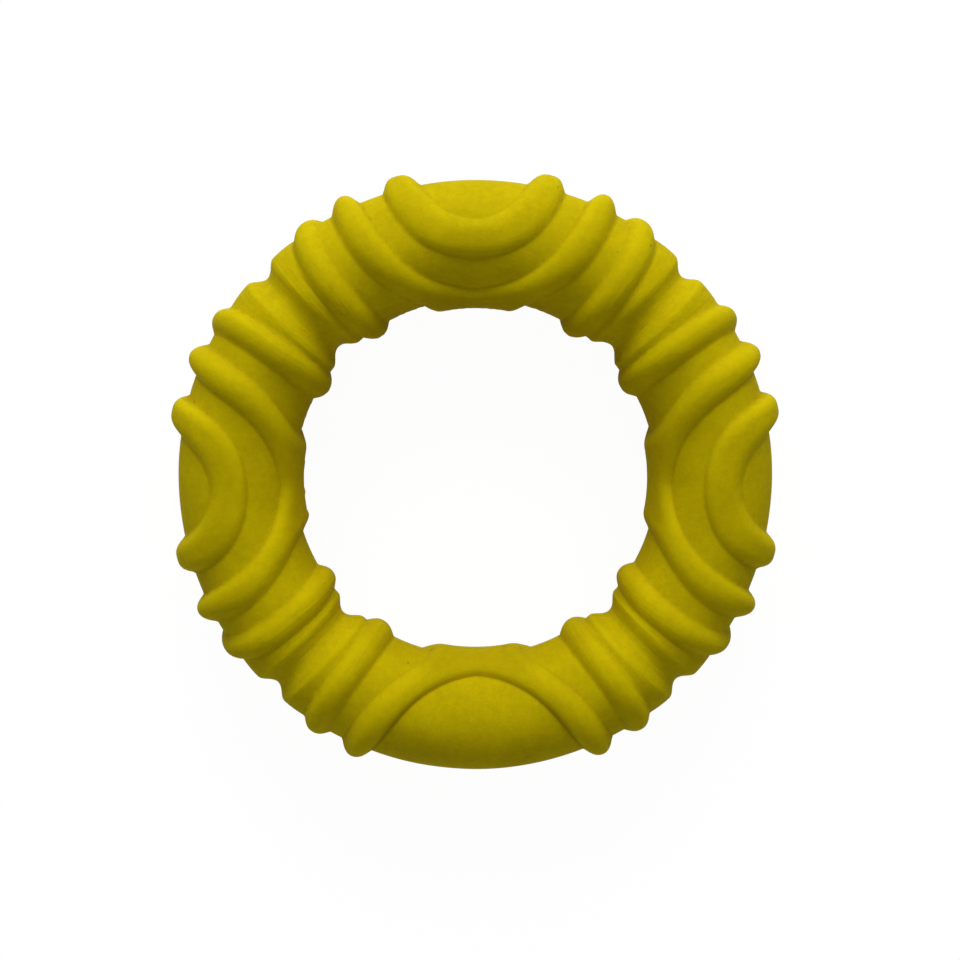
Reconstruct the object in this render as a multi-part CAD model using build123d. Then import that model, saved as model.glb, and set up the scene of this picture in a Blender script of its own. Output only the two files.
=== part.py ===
from build123d import *
import os
from math import cos, hypot, radians, sin

# A hollow rubber chew ring, made of two moulded half shells that are bonded on the ring's mid-plane.
# It lies flat on z = 0 with the ring's axis on z, and its plain pad points along -y.
# Lengths are in millimetres and angles in degrees.

# Ring, wall and seam
ring_r = 57.9               # ring's axis to the middle of its tube
tube_r = 13.9               # bare tube, between the ridges
wall = 6.0                  # rubber between the bare tube and the hollow
film = 0.3                  # cured cement between the two shells
outer_flash = 0.1           # cement left proud of the outer rim
inner_flash = 0.35          # cement left proud of the inner rim

# Lobes: the relief repeats round the ring, and one lobe has a plain pad in place of its centre ridge
lobe_count = 4

# Lengths on the bare tube are measured along the ring from the lobe's middle,
# and round the tube from the outer rim.

# Centre ridge: a closed oval on the outer rim
centre_along = 17.45        # half length of its crest line
centre_round = 22.1         # from the outer rim over to its crest
centre_power = 2.0          # an ellipse
centre_inner_width = 4.75   # crest to foot, inside the oval
centre_outer_width = 4.25   # crest to foot, outside it
centre_height = 3.2         # at the rim
centre_front_drop = 1.75    # how much lower it is on the front of the tube

# Pad: the bare oval inside the lobe ridge
pad_along = 27.8
pad_round = 35.2
pad_power = 1.6             # less than 2 draws the oval's ends to a point

# Lobe ridge: the raised band from the pad's edge to a line that crosses the inner rim
lobe_outer_angle = 27.9     # that line, at the outer rim
lobe_inner_angle = 15.75    # and at the inner rim
lobe_bend = 3.6             # higher keeps the line straight for longer
lobe_pad_slope = 4.1        # width of the slope beside the pad
lobe_far_slope = 4.2        # width of the slope on the other side
lobe_outer_height = 3.22
lobe_inner_height = 2.18
lobe_front_drop = 0.95

# Band ridge: goes right round the tube, bowed away from the lobe's middle
band_outer_angle = 32.9
band_inner_angle = 32.5
band_bow = 2.5
band_near_width = 3.8       # crest to foot, towards the lobe's middle
band_far_width = 3.5        # crest to foot, towards the groove
band_height = 2.25
band_front_drop = 0.5

# Groove between neighbouring lobes
groove_half_width = 4.3
groove_depth = 2.35
groove_front_drop = 0.83

# Ridge sections: how flat their tops are, and how soft their feet
round_section = (2.35, 1.2)     # lobe ridge's far side and band ridge
edge_section = (3.1, 1.05)      # lobe ridge's pad side, which rises out of a crease
centre_inner_section = (2.7, 1.25)
centre_outer_section = (3.4, 1.1)
groove_section = (2.0, 1.9)

# Sections in each half lobe, points along each section, and sections in each stretch of a film's outline
section_count = 60
point_count = 60
rim_stretch = 10

half_lobe = 180 / lobe_count
hollow_r = tube_r - wall
turns = [half_lobe * i / section_count for i in range(section_count + 1)]
rolls = [180 * j / point_count for j in range(point_count + 1)]


def bump(place, section):
    """Share of a ridge's height: 1 on its crest, at 0, and 0 beyond its feet, at -1 and 1."""
    flatness, softness = section
    return (1 - min(abs(place), 1) ** flatness) ** softness


def rise(place, section):
    """Share of a slope's height: 0 up to its foot, at 0, and 1 from its top, at 1."""
    return bump(1 - min(max(place, 0), 1), section)


def outside_oval(along, around, half_along, half_around, power):
    """Distance outside an oval about the lobe's middle, negative inside it."""
    x = along / half_along
    y = around / half_around
    reach = (x ** power + y ** power) ** (1 / power)
    if reach == 0:
        return -half_along
    steepness = hypot((x / reach) ** (power - 1) / half_along, (y / reach) ** (power - 1) / half_around)
    return (reach - 1) / steepness


def on_front(height, front_drop, inward):
    """Height of a ridge or groove that is lower on the front of the tube than at its two rims."""
    return height - front_drop * 4 * inward * (1 - inward)


def lobe_relief(along, around, local_r, inward, slide):
    """Height of the lobe ridge, between the pad's oval and the line that slants across the tube."""
    swing = radians(lobe_outer_angle - lobe_inner_angle)
    line = radians(lobe_outer_angle) - swing * inward ** lobe_bend
    slant = swing * lobe_bend * inward ** (lobe_bend - 1) * slide * local_r / tube_r
    pad_place = outside_oval(along, around, pad_along, pad_round, pad_power) / lobe_pad_slope
    far_place = (line * local_r - along) / hypot(1, slant) / lobe_far_slope
    even_height = lobe_outer_height + (lobe_inner_height - lobe_outer_height) * inward
    height = on_front(even_height, lobe_front_drop, inward)
    return height * rise(pad_place, edge_section) * rise(far_place, round_section)


def band_relief(along, local_r, inward, slide):
    """Height of the band ridge, which follows a bowed line round the tube."""
    swing = band_inner_angle - band_outer_angle
    line = radians(band_outer_angle + swing * inward + 2 * band_bow * slide)
    gap = along - line * local_r
    half_width = band_near_width if gap < 0 else band_far_width
    return on_front(band_height, band_front_drop, inward) * bump(gap / half_width, round_section)


def groove_relief(along, local_r, inward):
    """Depth of the groove, which is straight and shared with the next lobe."""
    gap = radians(half_lobe) * local_r - along
    return on_front(groove_depth, groove_front_drop, inward) * bump(gap / groove_half_width, groove_section)


def centre_relief(along, around, inward):
    """Height of the centre ridge, on both sides of its oval crest line."""
    gap = outside_oval(along, around, centre_along, centre_round, centre_power)
    height = on_front(centre_height, centre_front_drop, inward)
    if gap < 0:
        return height * bump(gap / centre_inner_width, centre_inner_section)
    return height * bump(gap / centre_outer_width, centre_outer_section)


def relief(turn, roll, plain):
    """Height over the bare tube, at a turn round the ring from the lobe's middle and a roll round the tube."""
    inward = (1 - cos(radians(roll))) / 2       # 0 on the outer rim, 1 on the inner rim
    slide = sin(radians(roll)) / 2              # how fast that share grows round the tube
    local_r = ring_r + tube_r * cos(radians(roll))
    along = radians(turn) * local_r
    around = radians(roll) * tube_r
    height = lobe_relief(along, around, local_r, inward, slide) + band_relief(along, local_r, inward, slide)
    height -= groove_relief(along, local_r, inward)
    if not plain:
        height += centre_relief(along, around, inward)
    return height


def skin_point(turn, roll, plain, proud=0):
    """Point on the skin of a lobe that points along -y, with the seam on z = 0."""
    reach = tube_r + relief(turn, roll, plain) + proud
    r = ring_r + reach * cos(radians(roll))
    return Vector(r * sin(radians(turn)), -r * cos(radians(turn)), reach * sin(radians(roll)))


def lobe_skin(plain):
    """Skin of one lobe: a smooth loft through the sections of half of it, and the mirror image."""
    spacing = [roll / rolls[-1] for roll in rolls]
    rows = [[skin_point(turn, roll, plain) for roll in rolls] for turn in turns]
    half = Shell.make_loft([Wire(Edge.make_spline(row, parameters=spacing)) for row in rows]).face()
    return [half, half.mirror(Plane.YZ)]


def ring_of_lobes(make_lobe):
    """Pieces of every lobe round the ring, starting with the plain one on -y."""
    pieces = []
    for i in range(lobe_count):
        turned = Rotation(0, 0, i * 360 / lobe_count)
        pieces += [turned * piece for piece in make_lobe(i == 0)]
    return pieces


def make_shell():
    """One half shell, with its seam on z = 0 and its relief on top."""
    skins = ring_of_lobes(lobe_skin)
    inner_rim = []
    outer_rim = []
    for skin in skins:
        inner, outer = skin.edges().sort_by(Axis.Z)[:2].sort_by(SortBy.LENGTH)
        inner_rim.append(inner)
        outer_rim.append(outer)
    seam = Face(Wire(outer_rim), [Wire(inner_rim)])
    return Solid(Shell(skins + [seam])) - Torus(ring_r, hollow_r)


def rim_outline(roll, flash):
    """Outline of the cement on one rim, proud of the skin by the flash."""
    def lobe_rim(plain):
        points = [skin_point(turn, roll, plain, flash) for turn in turns]
        starts = range(0, section_count, rim_stretch)
        half = [Edge.make_spline(points[i:i + rim_stretch + 1]) for i in starts]
        return half + [stretch.mirror(Plane.YZ) for stretch in half]
    return Wire(ring_of_lobes(lobe_rim))


def make_outer_bond():
    """Cement film between the outer walls, lying on z = 0."""
    hollow_edge = Wire(Edge.make_circle(ring_r + hollow_r))
    return extrude(Face(rim_outline(rolls[0], outer_flash), [hollow_edge]), amount=film, dir=(0, 0, 1))


def make_inner_bond():
    """Cement film between the inner walls, lying on z = 0."""
    hollow_edge = Wire(Edge.make_circle(ring_r - hollow_r))
    return extrude(Face(hollow_edge, [rim_outline(rolls[-1], inner_flash)]), amount=film, dir=(0, 0, 1))


# The ring lies on the tallest ridges of the back shell
shell_height = max(skin_point(turn, roll, False).Z for turn in turns for roll in rolls)
shell = make_shell()
nodes = {
    "back_shell": Pos(0, 0, shell_height) * shell.mirror(Plane.XY),
    "outer_seam_bond": Pos(0, 0, shell_height) * make_outer_bond(),
    "inner_seam_bond": Pos(0, 0, shell_height) * make_inner_bond(),
    "front_shell": Pos(0, 0, shell_height + film) * shell,
}

os.makedirs("parts", exist_ok=True)
for name, solid in nodes.items():
    export_step(solid, f"parts/{name}.step")
    box = solid.bounding_box()
    print(f"{name}: {solid.volume:.0f} mm3, z {box.min.Z:.2f} to {box.max.Z:.2f} mm")
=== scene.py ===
# %% [markdown]
# # A rubber chew ring
#
# A chew ring is moulded from coloured natural rubber in two hollow halves, which are bonded on the ring's
# mid-plane. The CAD model already holds the right shapes, so this lesson makes the same pieces again as
# finer meshes, adds the marks that moulding and bonding leave, and gives them a rubber finish. Lengths are
# in metres. The ring lies on z = 0 with its axis on z, and its plain pad points towards -y.

# %% Frame
import math

import bmesh
import bpy
import numpy as np
from mathutils import Matrix, Vector


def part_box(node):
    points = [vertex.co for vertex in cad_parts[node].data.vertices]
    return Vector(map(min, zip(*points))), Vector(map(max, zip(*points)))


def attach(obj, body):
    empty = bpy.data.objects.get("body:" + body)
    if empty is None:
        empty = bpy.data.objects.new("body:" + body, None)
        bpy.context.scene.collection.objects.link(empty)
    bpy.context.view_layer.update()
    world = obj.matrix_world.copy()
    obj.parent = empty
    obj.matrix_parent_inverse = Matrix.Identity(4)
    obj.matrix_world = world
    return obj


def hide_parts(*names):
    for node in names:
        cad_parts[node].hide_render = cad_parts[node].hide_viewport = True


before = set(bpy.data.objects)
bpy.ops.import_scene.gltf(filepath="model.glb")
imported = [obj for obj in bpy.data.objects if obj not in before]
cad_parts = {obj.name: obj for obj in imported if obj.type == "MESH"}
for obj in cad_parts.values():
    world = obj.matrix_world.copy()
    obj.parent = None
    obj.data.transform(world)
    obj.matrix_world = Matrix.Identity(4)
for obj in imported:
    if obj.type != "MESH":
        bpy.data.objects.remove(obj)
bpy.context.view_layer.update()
mm = 0.001

# %% [markdown]
# ## Where the halves lie
#
# The tube of the ring is a torus: a circle swept round the ring's axis. The seam is the flat ring where the
# two halves meet, with a thin film of cement between them. Reading both heights from the CAD nodes keeps the
# new meshes in the same place, with no fitting by eye.

# %% Tube and seam
ring_r = 57.9 * mm          # ring's axis to the middle of its tube
tube_r = 13.9 * mm          # bare tube, between the ridges
hollow_r = 7.9 * mm         # hollow inside the shells
front_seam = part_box("front_shell")[0].z
back_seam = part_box("back_shell")[1].z
film = front_seam - back_seam
print(f"back seam {back_seam / mm:.2f} mm, front seam {front_seam / mm:.2f} mm, film {film / mm:.2f} mm")

# %% [markdown]
# ## Ridge sections
#
# Every ridge on the ring comes from a rounded cut in the mould, so it has a round crest and a foot that runs
# out more or less softly. One formula with two exponents gives all of them: the first makes the top flatter,
# and the second makes the foot softer. A slope is half of such a ridge, and some ridges have a different
# section on each side.

# %% Section of a ridge
round_section = (2.35, 1.2)
edge_section = (3.1, 1.05)              # rises out of a crease
centre_inner_section = (2.7, 1.25)
centre_outer_section = (3.4, 1.1)
groove_section = (2.0, 1.9)


def bump(place, section):
    """Share of a ridge's height: 1 on its crest, at 0, and 0 beyond its feet, at -1 and 1."""
    flatness, softness = section
    return (1 - np.clip(np.abs(place), 0, 1) ** flatness) ** softness


def rise(place, section):
    """Share of a slope's height: 0 up to its foot, at 0, and 1 from its top, at 1."""
    return bump(1 - np.clip(place, 0, 1), section)


part_way = np.array([0.25, 0.5])
print("ridge heights a quarter and half of the way to its foot:", bump(part_way, round_section).round(2))

# %% [markdown]
# ## The pattern of one lobe
#
# The relief repeats four times round the ring. Each half of a lobe has half of an oval pad, a lobe ridge at
# the pad's edge, a band ridge that goes right round the tube, and half of the groove to the next lobe. The
# bare land between the band ridge and the groove swells a little. Three of the pads carry an oval centre
# ridge on the outer rim, and the fourth is plain. Writing the heights as a function of two angles, one round
# the ring and one round the tube, lets any vertex ask how far out it belongs. That is easier to keep true
# than modelling forty ridges by hand.

# %% Values of the lobe
lobe_angle = math.pi / 2            # four equal lobes

centre_along = 17.45 * mm           # half length of the centre ridge's crest line
centre_round = 22.1 * mm            # from the outer rim over to that crest
centre_power = 2                    # an ellipse
centre_inner_width = 4.75 * mm      # crest to foot, inside the oval
centre_outer_width = 4.25 * mm      # crest to foot, outside it
centre_height = 3.2 * mm
centre_front_drop = 1.75 * mm       # how much lower it is on the front of the tube

pad_along = 27.8 * mm
pad_round = 35.2 * mm
pad_power = 1.6                     # less than 2 draws the oval's ends to a point

lobe_outer_angle = math.radians(27.9)
lobe_inner_angle = math.radians(15.75)
lobe_bend = 3.6                     # higher keeps the far edge straight for longer
lobe_pad_slope = 4.1 * mm
lobe_far_slope = 4.2 * mm
lobe_outer_height = 3.22 * mm
lobe_inner_height = 2.18 * mm
lobe_front_drop = 0.95 * mm

band_outer_angle = math.radians(32.9)
band_inner_angle = math.radians(32.5)
band_bow = math.radians(2.5)
band_near_width = 3.8 * mm
band_far_width = 3.5 * mm
band_height = 2.25 * mm
band_front_drop = 0.5 * mm

groove_half_width = 4.3 * mm
groove_depth = 2.35 * mm
groove_front_drop = 0.83 * mm

land_crown = 0.025                  # swell of the bare land beside the groove, as a share of its width
land_edge = 2.0 * mm                # from the groove's middle to where that swell ends

lobe_length = lobe_angle * (ring_r + tube_r)
print(f"each lobe takes {lobe_length / mm:.1f} mm of the outer rim")

# %% Distances in the pattern
tiny = 1e-6                         # keeps the oval's formula away from 0 / 0
far_away = 1                        # a metre, which is further than any place on the ring


def outside_oval(along, around, half_along, half_around, power):
    """Distance outside an oval about the lobe's middle, negative inside it."""
    x = np.maximum(along / half_along, tiny)
    y = np.maximum(around / half_around, tiny)
    reach = (x ** power + y ** power) ** (1 / power)
    steepness_along = (x / reach) ** (power - 1) / half_along
    steepness_around = (y / reach) ** (power - 1) / half_around
    return (reach - 1) / np.hypot(steepness_along, steepness_around)


def gaps(bearing, roll):
    """Distances from the pad, the lobe ridge's far edge, the band ridge, the groove and the centre ridge.

    The bearing goes round the ring from the plain pad, and the roll goes round the tube from the outer rim.
    """
    lobe = np.round(bearing / lobe_angle)       # 0 is the lobe with the plain pad
    turn = np.abs(bearing - lobe * lobe_angle)
    inward = (1 - np.cos(roll)) / 2             # 0 on the outer rim, 1 on the inner rim
    slide = np.sin(roll) / 2                    # how fast that share grows round the tube
    local_r = ring_r + tube_r * np.cos(roll)
    along = turn * local_r
    around = roll * tube_r

    pad = outside_oval(along, around, pad_along, pad_round, pad_power)
    swing = lobe_outer_angle - lobe_inner_angle
    slant = swing * lobe_bend * inward ** (lobe_bend - 1) * slide * local_r / tube_r
    far = ((lobe_outer_angle - swing * inward ** lobe_bend) * local_r - along) / np.hypot(1, slant)
    line = band_outer_angle + (band_inner_angle - band_outer_angle) * inward + 2 * band_bow * slide
    band = along - line * local_r
    groove = lobe_angle / 2 * local_r - along
    centre = outside_oval(along, around, centre_along, centre_round, centre_power)
    return pad, far, band, groove, np.where(lobe == 0, far_away, centre)


pad_middle = gaps(np.zeros(1), np.zeros(1))
print(f"on the outer rim, the groove is {pad_middle[3][0] / mm:.1f} mm from the pad's middle")

# %% Heights of the pattern
def land_swell(band, groove):
    """Height of the swell on the bare land between the band ridge's foot and the groove."""
    from_band = band - band_far_width
    from_groove = groove - land_edge
    swell = 4 * land_crown * np.maximum(from_band, 0) * np.maximum(from_groove, 0)
    return swell / (from_band + from_groove)


def relief(bearing, roll):
    """Height over the bare tube."""
    pad, far, band, groove, centre = gaps(bearing, roll)
    inward = (1 - np.cos(roll)) / 2
    front = np.sin(roll) ** 2                   # 1 on the front of the tube
    lobe_top = lobe_outer_height + (lobe_inner_height - lobe_outer_height) * inward - lobe_front_drop * front
    band_top = band_height - band_front_drop * front
    band_width = np.where(band < 0, band_near_width, band_far_width)
    groove_bottom = groove_depth - groove_front_drop * front
    centre_top = centre_height - centre_front_drop * front
    centre_inner = centre_top * bump(centre / centre_inner_width, centre_inner_section)
    centre_outer = centre_top * bump(centre / centre_outer_width, centre_outer_section)
    height = lobe_top * rise(pad / lobe_pad_slope, edge_section) * rise(far / lobe_far_slope, round_section)
    height += band_top * bump(band / band_width, round_section)
    height -= groove_bottom * bump(groove / groove_half_width, groove_section)
    height += np.where(centre < 0, centre_inner, centre_outer)
    return height + land_swell(band, groove)


all_round = np.radians(np.arange(-180, 180))
half_round = np.radians(np.arange(181))
heights = relief(*np.meshgrid(all_round, half_round))
print(f"tallest ridge {heights.max() / mm:.2f} mm, deepest groove {-heights.min() / mm:.2f} mm")

# %% [markdown]
# ## The moulded halves
#
# Each half is a shell with a thick wall. Its section is two half circles joined on the seam, and one vertex
# swept half way round the tube makes each of them. Spinning that section round the ring's axis makes the
# shell. A spin slows down as its mesh grows, so a quarter of the ring is spun in fine steps, and a second
# spin sets three copies of it round the axis. Ready made tori would do too, but they would have to be cut
# and joined on the seam.

# %% Shell of one half
skin_steps = 124            # faces round the skin of a half tube, each about 0.4 mm wide
hollow_steps = 6            # the hollow is hidden, so it stays coarse
ring_steps = 720            # faces round the ring, each about 0.6 mm long
weld = 0.001 * mm           # vertices closer than this become one


def add_piece(bm, name):
    """Turn a finished bmesh into an object at the origin."""
    mesh = bpy.data.meshes.new(name)
    bm.to_mesh(mesh)
    bm.free()
    piece = bpy.data.objects.new(name, mesh)
    bpy.context.scene.collection.objects.link(piece)
    return piece


def half_circle(bm, radius, seam, up, steps):
    """Half circle of edges round the middle of the tube, from the outer rim over to the inner rim."""
    first = bm.verts.new((ring_r + radius, 0, seam))
    turn = {"cent": (ring_r, 0, seam), "axis": (0, -up, 0), "angle": math.pi}
    swept = bmesh.ops.spin(bm, geom=[first], steps=steps, **turn)
    last = [part for part in swept["geom_last"] if isinstance(part, bmesh.types.BMVert)][0]
    return first, last


def spin_round(bm, steps):
    """Spin a section right round the ring's axis, and close the ring."""
    turn = {"cent": (0, 0, 0), "axis": (0, 0, 1)}
    bmesh.ops.spin(bm, geom=bm.verts[:] + bm.edges[:], angle=math.pi / 2, steps=steps // 4, **turn)
    quarter = bm.verts[:] + bm.edges[:] + bm.faces[:]
    bmesh.ops.spin(bm, geom=quarter, angle=1.5 * math.pi, steps=3, use_duplicate=True, **turn)
    bmesh.ops.remove_doubles(bm, verts=bm.verts, dist=weld)
    bmesh.ops.recalc_face_normals(bm, faces=bm.faces)


def bare_half(name, seam, up):
    """Bare half of the tube with its hollow, on the upper or lower side of the seam."""
    bm = bmesh.new()
    skin_ends = half_circle(bm, tube_r, seam, up, skin_steps)
    hollow_ends = half_circle(bm, hollow_r, seam, up, hollow_steps)
    for ends in zip(skin_ends, hollow_ends):
        bm.edges.new(ends)
    spin_round(bm, ring_steps)
    return add_piece(bm, name)


front_half = bare_half("front_half", front_seam, 1)
back_half = bare_half("back_half", back_seam, -1)
for half in (front_half, back_half):
    print(f"{half.name}: {len(half.data.vertices)} vertices, {len(half.data.polygons)} faces")

# %% [markdown]
# ## Values for the finish
#
# The finish needs to know more about a place than where it is. Creases get dust and painted shade, and
# crests get wear and a painted highlight, so one value tells how far a place lies below its surroundings.
# The edge of the plain pad is a crisp crease with a line of painted shade, so another tells how far a place
# lies up from it.
# The cutter that made the mould left its lines in and beside the grooves, so a third tells how plainly they
# show.

# %% Creases, pad edge and cutter marks
crease_reach = 0.7 * mm     # how far off the surroundings are looked at
off_edge = -1 * mm          # stands for every place that isn't beside the plain pad
marks_end = 12 * mm         # from the groove's middle to where the cutter's lines have faded out
marks_fade = 4 * mm         # the stretch in which they fade


def crease_depth(bearing, roll):
    """How far a place lies below its surroundings on each side."""
    along = crease_reach / (ring_r + tube_r * np.cos(roll))
    around = crease_reach / tube_r
    sides = relief(bearing - along, roll) + relief(bearing + along, roll)
    sides = sides + relief(bearing, np.abs(roll - around)) + relief(bearing, roll + around)
    return sides / 4 - relief(bearing, roll)


def pad_edge(bearing, roll):
    """Distance up the lobe ridge from the plain pad's edge, negative on that pad and everywhere else."""
    pad, far, band, groove, centre = gaps(bearing, roll)
    beside_pad = (far > 0) & (np.abs(bearing) < lobe_angle / 2)
    return np.where(beside_pad, pad, off_edge)


def cutter_marks(bearing, roll):
    """How plainly the cutter's lines show: 1 in and beside the grooves, and 0 far from them."""
    pad, far, band, groove, centre = gaps(bearing, roll)
    return np.clip((marks_end - groove) / marks_fade, 0, 1)


depths = crease_depth(*np.meshgrid(all_round, half_round))
print(f"deepest crease {depths.max() / mm:.2f} mm below its surroundings")

# %% [markdown]
# ## Sculpting the relief
#
# With the bare tube in place, the relief is a sculpting move: every vertex of the skin slides straight out
# from the middle of the tube by the height that its two angles ask for. The real ring looks as if its mould
# was cut by hand, so the surface also wanders by about a tenth of a millimetre, which a few slow waves
# imitate. The values for the finish are kept as attributes of the vertices. The last of them is the place
# itself, drawn in round the tube, so that a pattern of spots in it becomes lines that run round the tube.

# %% Vertex moves
wave_height = 0.04 * mm
waves = [(7, 2, 0.4), (11, -3, 1.9), (17, 5, 4.1), (23, -4, 2.7)]   # round the ring, round the tube, start
line_stretch = 25                       # how much longer than wide the cutter's lines are
sharp_angle = math.radians(50)          # the skin shades smoothly, and its edge at the seam stays sharp


def wander(bearing, roll):
    """Slow unevenness of a hand cut mould, about a tenth of a millimetre."""
    total = np.zeros_like(bearing)
    for round_ring, round_tube, start in waves:
        total = total + np.sin(round_ring * bearing + round_tube * roll + start)
    return wave_height * total


def vertex_places(mesh):
    """Columns of the x, y and z of every vertex."""
    places = np.empty(3 * len(mesh.vertices))
    mesh.vertices.foreach_get("co", places)
    return places.reshape(-1, 3).T


def move_vertices(mesh, bearing, r, z):
    """Set every vertex by its bearing, its distance from the ring's axis and its height."""
    moved = np.stack([r * np.sin(bearing), -r * np.cos(bearing), z], axis=1)
    mesh.vertices.foreach_set("co", moved.ravel())
    mesh.update()
    mesh.shade_smooth()


def sculpt(piece, seam, up):
    """Move the skin of a bare half out to its relief, and keep the values that its finish needs."""
    mesh = piece.data
    x, y, z = vertex_places(mesh)
    out = np.hypot(x, y) - ring_r
    lift = np.maximum((z - seam) * up, 0)
    bearing = np.arctan2(x, -y)
    roll = np.arctan2(lift, out)
    reach = np.hypot(out, lift)
    skin = reach > (tube_r + hollow_r) / 2
    reach = reach + np.where(skin, relief(bearing, roll) + wander(bearing, up * roll) * np.sin(roll), 0)
    height = seam + up * reach * np.sin(roll)
    move_vertices(mesh, bearing, ring_r + reach * np.cos(roll), height)
    mesh.set_sharp_from_angle(angle=sharp_angle)

    values = {
        "crease": np.where(skin, crease_depth(bearing, roll) / mm, 0),
        "pad_edge": np.where(skin, pad_edge(bearing, roll), off_edge) / mm,
        "cutter_marks": np.where(skin, cutter_marks(bearing, roll), 0),
    }
    for name, value in values.items():
        mesh.attributes.new(name, "FLOAT", "POINT").data.foreach_set("value", value)
    drawn_in = up * roll * tube_r / line_stretch
    cut_place = np.stack([ring_r * np.sin(bearing), ring_r * np.cos(bearing), drawn_in], axis=1)
    mesh.attributes.new("cut_place", "FLOAT_VECTOR", "POINT").data.foreach_set("vector", cut_place.ravel())
    print(f"{piece.name}: z {height.min() / mm:.2f} to {height.max() / mm:.2f} mm")


sculpt(front_half, front_seam, 1)
sculpt(back_half, back_seam, -1)

# %% [markdown]
# ## The cement in the seam
#
# Rubber cement holds the halves together, and pressing them shut squeezes a little of it out. On the outer
# rim it was trimmed to a fine line. On the inner rim, where a knife reaches badly, it stayed as a thin lip
# that is fairly clean, with a few lumps. Each film is a flat section with a rounded lip, spun round the
# axis, and its lip then follows the rim.

# %% Roughness of the lip
chance = np.random.default_rng(7)
shortest_wave = 1.5 * mm
longest_wave = 14 * mm
lip_waves = 40
lip_calm = 60               # higher evens the lip out
lip_mean = 0.2              # as a share of the lip's full height
lip_least = 0.05            # likewise


def rough(bearing):
    """Uneven height round the ring, up to 1, from many waves of different lengths on the inner rim."""
    rim = math.tau * (ring_r - tube_r)
    total = np.zeros_like(bearing)
    for count in chance.integers(rim / longest_wave, rim / shortest_wave, lip_waves):
        total = total + np.sin(count * bearing + chance.uniform(0, math.tau))
    return np.clip(lip_mean + total / lip_calm, lip_least, 1)


print(f"the lip's waves are {shortest_wave / mm:.1f} to {longest_wave / mm:.1f} mm long")

# %% Cement films
seam_middle = (front_seam + back_seam) / 2
lip_steps = 1440            # fine enough for lumps of a millimetre or two
lip_root = 0.4 * mm         # the lip starts this far inside the bare rim
lip_foot = 0.01 * mm        # and stands clear of the rim from here
shoulder = 0.7              # share of the lip's height at which it rounds off
low_lip = 0.55              # share of its thickness that the lip has where it is lowest
tallest_lip = 1.6           # it grows no thicker beyond this share of its height


def film_section(proud, thick):
    """Corners of a film's section from the hollow to the lip and back, as reach and lift."""
    lower = [
        (hollow_r, -film / 2),
        (tube_r - lip_root, -film / 2),
        (tube_r + lip_foot, -thick / 2),
        (tube_r + shoulder * proud, -thick / 3),
    ]
    upper = [(reach, -lift) for reach, lift in reversed(lower)]
    return lower + [(tube_r + proud, 0)] + upper


def cement_film(name, side, proud, thick, lumps):
    """Film from the hollow to the rim, with a lip that stands proud. The side is 1 outside and -1 inside."""
    bm = bmesh.new()
    section = film_section(proud, thick)
    corners = [bm.verts.new((ring_r + side * reach, 0, seam_middle + lift)) for reach, lift in section]
    for i, corner in enumerate(corners):
        bm.edges.new((corners[i - 1], corner))
    spin_round(bm, lip_steps)
    piece = add_piece(bm, name)

    mesh = piece.data
    x, y, z = vertex_places(mesh)
    bearing = np.arctan2(x, -y)
    reach = (np.hypot(x, y) - ring_r) * side
    roll = np.full_like(bearing, 0 if side > 0 else math.pi)
    lip = rough(bearing)
    for place, length, height in lumps:
        from_lump = (bearing - math.radians(place)) * (ring_r - tube_r)
        lip = lip + height * bump(from_lump / length, round_section)
    beyond = np.maximum(reach - tube_r, 0)
    at_rim = reach > (tube_r - lip_root + hollow_r) / 2
    reach = np.minimum(reach, tube_r) + np.where(at_rim, relief(bearing, roll), 0) + beyond * lip
    thickness = np.where(beyond > 0, low_lip + (1 - low_lip) * np.clip(lip, 0, tallest_lip), 1)
    move_vertices(mesh, bearing, ring_r + side * reach, seam_middle + (z - seam_middle) * thickness)
    print(f"{name}: {len(mesh.polygons)} faces, lip up to {(beyond * lip).max() / mm:.2f} mm proud")
    return piece


inner_lumps = [             # bearing in degrees, half length, share of the lip's height
    (-96, 1.2 * mm, 0.4),
    (-87, 1.3 * mm, 0.7),
    (-79, 1.8 * mm, 0.9),
    (-15, 1.2 * mm, 0.9),
    (10, 1.4 * mm, 0.8),
]
inner_film = cement_film("inner_cement", side=-1, proud=0.35 * mm, thick=0.9 * mm, lumps=inner_lumps)
outer_film = cement_film("outer_cement", side=1, proud=0.08 * mm, thick=0.5 * mm, lumps=[])

# %% [markdown]
# ## Nodes and colours
#
# A finish is a tree of shader nodes. One small function adds a node and sets or links its inputs, and a few
# named uses of it keep the trees short. Colours are written as they look on a screen, and shaders reckon
# with the light itself, so each colour is made linear first.

# %% Node helpers
def linear(hex_colour):
    """An sRGB hex colour as the linear values that shader sockets take."""
    channels = [int(hex_colour[i:i + 2], 16) / 255 for i in (1, 3, 5)]
    return [c / 12.92 if c <= 0.04045 else ((c + 0.055) / 1.055) ** 2.4 for c in channels] + [1]


def add_node(tree, kind, inputs, **settings):
    """Add a shader node with its settings, and set or link each of its inputs."""
    node = tree.nodes.new("ShaderNode" + kind)
    for name, value in settings.items():
        setattr(node, name, value)
    for socket, source in inputs.items():
        if isinstance(source, bpy.types.NodeSocket):
            tree.links.new(source, node.inputs[socket])
        else:
            node.inputs[socket].default_value = source
    return node


def noise(tree, place, size, detail):
    """A pattern of soft spots of about a given size."""
    return add_node(tree, "TexNoise", {"Vector": place, "Scale": 1 / size, "Detail": detail}).outputs[0]


def ramp(tree, value, start, end, low=0, high=1):
    """Go from low to high while a value goes from its start to its end, and stay level beyond them."""
    inputs = {"Value": value, "From Min": start, "From Max": end, "To Min": low, "To Max": high}
    return add_node(tree, "MapRange", inputs).outputs[0]


def reckon(tree, operation, *values):
    """Combine values with one step of arithmetic."""
    return add_node(tree, "Math", dict(enumerate(values)), operation=operation).outputs[0]


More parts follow.
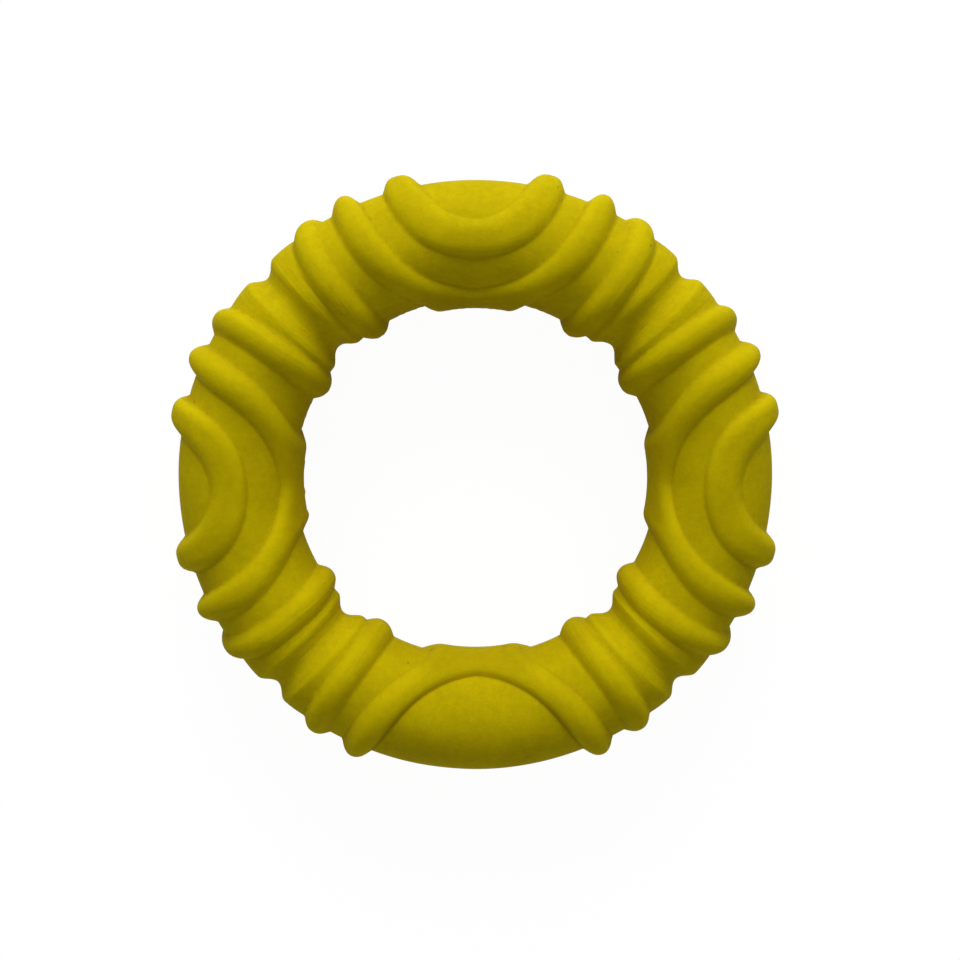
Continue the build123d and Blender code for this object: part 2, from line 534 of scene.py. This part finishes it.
def blend(tree, share, colour, other):
    """Mix a colour with another by a share."""
    return add_node(tree, "Mix", {0: share, 6: colour, 7: other}, data_type="RGBA").outputs[2]


def new_material(name):
    """An empty node material."""
    material = bpy.data.materials.new(name)
    material.use_nodes = True
    material.node_tree.nodes.clear()
    return material


fresh_yellow = linear("#D3BE00")
print("fresh yellow as linear values:", [round(value, 3) for value in fresh_yellow])

# %% [markdown]
# ## Rubber finish
#
# Moulded natural rubber is coloured right through, opaque and matt, because the mould's sandblasted face
# leaves a fine grain on it. Seen close, it has faint cloudy patches where the pigment mixed unevenly, fine
# cutter lines in and beside the grooves, and a few tiny pits from trapped air, darkened with painted shade.
# Its creases are darker from dust and painted shade, its inner wall is darker from painted shade, and its
# crests are paler from wear and a painted highlight. The crease along the plain pad is crisp, so it gets a
# line of painted shade that starts sharply and fades up the ridge. All of these are drawn from the place on
# the object or from the attributes of its skin, so they stay put from every side.

# %% Moulded natural rubber: patterns
rubber = new_material("moulded_natural_rubber")
tree = rubber.node_tree
place = add_node(tree, "TexCoord", {}).outputs["Object"]
cloud = noise(tree, place, 11 * mm, 3)
mottle = noise(tree, place, 1.8 * mm, 3)
grain = noise(tree, place, 0.6 * mm, 2)
cut_place = add_node(tree, "Attribute", {}, attribute_name="cut_place").outputs["Vector"]
lines = noise(tree, cut_place, 0.9 * mm, 2)
cells = add_node(tree, "TexVoronoi", {"Vector": place, "Scale": 1 / (7 * mm)}).outputs
pit_place = reckon(tree, "DIVIDE", cells["Distance"], cells["Color"])      # so that the pits differ in size
# Tiny pits: dented by a bump below, and darkened with painted shade inside them.
pit = ramp(tree, pit_place, 0.02, 0.07, low=0.6, high=0)
print(f"{rubber.name}: {len(tree.nodes)} nodes of patterns")

# %% Moulded natural rubber: wear and painted light
wall_start = 47.5 * mm      # from the ring's axis to where the painted shade on the inner wall starts
wall_end = 44 * mm          # and to where that painted shade is darkest

# The crease and the pad's edge are attributes in millimetres
crease = add_node(tree, "Attribute", {}, attribute_name="crease").outputs["Fac"]
# Paler crests: partly real wear, partly a painted highlight.
rub_and_highlight = ramp(tree, crease, -0.01, -0.12, high=0.7)
# Darker creases: partly dust, partly painted shade where less light reaches.
dust_and_painted_shade = ramp(tree, crease, 0.02, 0.25, high=0.4)
flat_place = add_node(tree, "VectorMath", {0: place, 1: (1, 1, 0)}, operation="MULTIPLY").outputs[0]
from_axis = add_node(tree, "VectorMath", {0: flat_place}, operation="LENGTH").outputs["Value"]
# The inner wall is darkened with painted shade, more towards the ring's axis.
painted_wall_shade = ramp(tree, from_axis, wall_start, wall_end, high=0.32)
dust_and_painted_shade = reckon(tree, "MAXIMUM", dust_and_painted_shade, painted_wall_shade)
edge = add_node(tree, "Attribute", {}, attribute_name="pad_edge").outputs["Fac"]
# A line of painted shade along the plain pad's crease, which starts sharply and fades up the ridge.
shade_line_start = ramp(tree, edge, -0.1, 0.03)
shade_line_end = ramp(tree, edge, 0.03, 1.3, low=0.85, high=0)
line = reckon(tree, "MULTIPLY", shade_line_start, shade_line_end)
print(f"{rubber.name}: {len(tree.nodes)} nodes with wear")

# %% Moulded natural rubber: surface
dull_yellow = linear("#C0AC00")
# Paler yellow for the crests, partly worn rubber and partly a painted highlight.
rubbed_and_highlight_yellow = linear("#DFCC00")
# Darker yellow for dust and painted shade in the creases, and for the painted shade on the inner wall and
# along the plain pad's crease.
dust_and_shade_yellow = linear("#A08600")
# Dark brown for the painted shade inside the pits.
pit_shade_brown = linear("#7A6600")
rubber_ior = 1.52
lines_share = 0.25          # how much the lines add to the unevenness
grain_share = 0.8           # and how much the grain adds

uneven = reckon(tree, "ADD", cloud, mottle)
uneven = reckon(tree, "MULTIPLY_ADD", lines, lines_share, uneven)
uneven = reckon(tree, "MULTIPLY_ADD", grain, grain_share, uneven)
uneven = ramp(tree, uneven, 1.15, 1.9)
colour = blend(tree, uneven, dull_yellow, fresh_yellow)
# Painted highlight on the crests; dust and painted shade in the creases; painted shade on the inner wall,
# along the plain pad's crease and in the pits.
colour = blend(tree, rub_and_highlight, colour, rubbed_and_highlight_yellow)
colour = blend(tree, dust_and_painted_shade, colour, dust_and_shade_yellow)
colour = blend(tree, line, colour, dust_and_shade_yellow)
colour = blend(tree, pit, colour, pit_shade_brown)
marks = add_node(tree, "Attribute", {}, attribute_name="cutter_marks").outputs["Fac"]
grainy = add_node(tree, "Bump", {"Height": grain, "Distance": 0.07 * mm}).outputs[0]
line_bumps = {"Height": lines, "Strength": marks, "Distance": 0.17 * mm, "Normal": grainy}
lined = add_node(tree, "Bump", line_bumps).outputs[0]
pit_bumps = {"Height": pit, "Distance": 0.12 * mm, "Normal": lined}
pitted = add_node(tree, "Bump", pit_bumps, invert=True).outputs[0]
surface = add_node(tree, "BsdfPrincipled", {
    "Base Color": colour,
    "Roughness": ramp(tree, grain, 0.3, 0.7, low=0.72, high=0.86),
    "IOR": rubber_ior,
    "Specular IOR Level": 0.04,
    "Normal": pitted,
})
add_node(tree, "OutputMaterial", {"Surface": surface.outputs[0]})
print(f"{rubber.name}: {len(tree.nodes)} nodes in all")

# %% [markdown]
# ## Cement finish
#
# Cured rubber cement is coloured to match, but it dries a shade browner and has a skin that catches a little
# light.

# %% Cured rubber cement
dark_cement = linear("#A89500")
pale_cement = linear("#BEAA00")
cement = new_material("cured_rubber_cement")
tree = cement.node_tree
place = add_node(tree, "TexCoord", {}).outputs["Object"]
blotch = noise(tree, place, 2.5 * mm, 3)
wrinkle = add_node(tree, "Bump", {"Height": blotch, "Distance": 0.15 * mm}).outputs[0]
surface = add_node(tree, "BsdfPrincipled", {
    "Base Color": blend(tree, blotch, dark_cement, pale_cement),
    "Roughness": 0.65,
    "IOR": rubber_ior,
    "Specular IOR Level": 0.08,
    "Normal": wrinkle,
})
add_node(tree, "OutputMaterial", {"Surface": surface.outputs[0]})
print(f"{cement.name}: {len(tree.nodes)} nodes")

# %% [markdown]
# ## Dressing the pieces
#
# Each piece takes its finish, and stands in for one node of the CAD model. The ring is one rigid body, so
# all four pieces ride on it.

# %% Pieces take their finish and their place
dressed = [
    (front_half, "front_shell", rubber, "yellow_rubber"),
    (back_half, "back_shell", rubber, "yellow_rubber"),
    (inner_film, "inner_seam_bond", cement, "seam_cement"),
    (outer_film, "outer_seam_bond", cement, "seam_cement"),
]
for piece, node_name, material, slot in dressed:
    piece.data.materials.append(material)
    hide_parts(node_name)
    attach(piece, "root")
    print(f"{piece.name} replaces {node_name}")

# %% [markdown]
# ## Floor and light
#
# The ring lies on a white sheet. A broad softbox above its far side gives most of the light, a white card on
# the near side throws a little of it back, and faint light comes from all round. A piece of white paper that
# faces the softbox would render just about white, so each colour renders about as it is written. The floor
# adds a glow where it is seen directly, which makes the background white and keeps a faint shadow.

# %% World
ambient = 0.19              # light from all round, as a share of full white
white = (1, 1, 1, 1)


def seen_directly(tree):
    """1 for rays from the camera and those that a glossy or clear surface sends on, and 0 for the rest."""
    path = add_node(tree, "LightPath", {}).outputs
    sent_on = reckon(tree, "MAXIMUM", path["Is Glossy Ray"], path["Is Transmission Ray"])
    return reckon(tree, "MAXIMUM", path["Is Camera Ray"], sent_on)


world = bpy.data.worlds.new("studio")
bpy.context.scene.world = world
world.use_nodes = True
world.node_tree.nodes.clear()
tree = world.node_tree
level = ramp(tree, seen_directly(tree), 0, 1, low=ambient)
sky = add_node(tree, "Background", {"Color": white, "Strength": level})
add_node(tree, "OutputWorld", {"Surface": sky.outputs[0]})
print(f"{world.name}: {ambient:.0%} of full white from all round")

# %% Floor
floor_half_size = 1.5
floor_glow = 0.96

paper = new_material("white_paper")
tree = paper.node_tree
plain_paper = add_node(tree, "BsdfDiffuse", {"Color": linear("#E6E6E6")})
dim_paper = add_node(tree, "BsdfDiffuse", {"Color": linear("#505050")})
glow = add_node(tree, "Emission", {"Color": white, "Strength": floor_glow})
shown = add_node(tree, "AddShader", {0: dim_paper.outputs[0], 1: glow.outputs[0]})
both = add_node(tree, "MixShader", {0: seen_directly(tree), 1: plain_paper.outputs[0], 2: shown.outputs[0]})
add_node(tree, "OutputMaterial", {"Surface": both.outputs[0]})

bm = bmesh.new()
bmesh.ops.create_grid(bm, x_segments=1, y_segments=1, size=floor_half_size)
floor = add_piece(bm, "floor")
floor.data.materials.append(paper)
print(f"{floor.name}: {2 * floor_half_size} m wide")

# %% Lamps
def facing(direction):
    """Turn that points an object's own z axis along a direction. A lamp shines the other way."""
    return Vector(direction).to_track_quat("Z", "Y").to_matrix().to_4x4()


def add_lamp(name, tilt, distance, size, level):
    """Add a soft lamp that leans from straight above towards +y. Its level is a share of full white."""
    way = Vector((0, math.sin(tilt), math.cos(tilt)))
    data = bpy.data.lights.new(name, "AREA")
    data.shape = "RECTANGLE"
    data.size, data.size_y = size
    data.energy = level * math.pi ** 2 * distance ** 2
    lamp = bpy.data.objects.new(name, data)
    bpy.context.scene.collection.objects.link(lamp)
    lamp.matrix_world = Matrix.Translation(way * distance) @ facing(way)
    print(f"{name}: {data.energy:.1f} W at {distance} m")


add_lamp("softbox", tilt=math.radians(62), distance=1.2, size=(1.2, 0.6), level=0.885)
add_lamp("white_card", tilt=math.radians(-45), distance=1.2, size=(1.2, 0.9), level=0.08)

# %% [markdown]
# ## Camera
#
# The photograph was taken from nearly straight above, a little towards the ring's far side, from somewhat
# over two ring widths away. The camera's place and lens come from fitting the ring's outline, and a small
# shift puts the ring where the photograph has it.

# %% Camera
camera_tilt = math.radians(7.88)        # towards +y
camera_yaw = math.radians(-0.36)        # towards +x
camera_roll = math.radians(-0.35)       # about its own axis
camera_distance = 343.4 * mm
pixels_per_mm = 4.113                   # at the seam
image_width = 960                       # in pixels, as are the next two
image_middle = 479.5
ring_middle = (475.2, 480.7)            # column and row of the ring's middle
sensor_width = 36                       # in millimetres

side_share = math.cos(camera_tilt)
way_x = math.sin(camera_yaw) * side_share
way_z = math.cos(camera_yaw) * side_share
way = Vector((way_x, math.sin(camera_tilt), way_z))
level_up = Vector((0, 1, 0))
level_up = (level_up - way * level_up.dot(way)).normalized()
level_right = level_up.cross(way)
right = level_right * math.cos(camera_roll) + level_up * math.sin(camera_roll)
up = level_up * math.cos(camera_roll) - level_right * math.sin(camera_roll)

camera_data = bpy.data.cameras.new("camera")
camera_data.sensor_width = sensor_width
camera_data.lens = pixels_per_mm * camera_distance / mm / image_width * sensor_width
camera_data.shift_x = (image_middle - ring_middle[0]) / image_width
camera_data.shift_y = (ring_middle[1] - image_middle) / image_width
camera_data.clip_start = 10 * mm
camera = bpy.data.objects.new("camera", camera_data)
bpy.context.scene.collection.objects.link(camera)
turn = Matrix((right, up, way)).transposed().to_4x4()
camera.matrix_world = Matrix.Translation(Vector((0, 0, seam_middle)) + way * camera_distance) @ turn
bpy.context.scene.camera = camera
bpy.context.scene.view_settings.view_transform = "Standard"
print(f"camera: lens {camera_data.lens:.1f} mm, {camera_distance / mm:.0f} mm away")
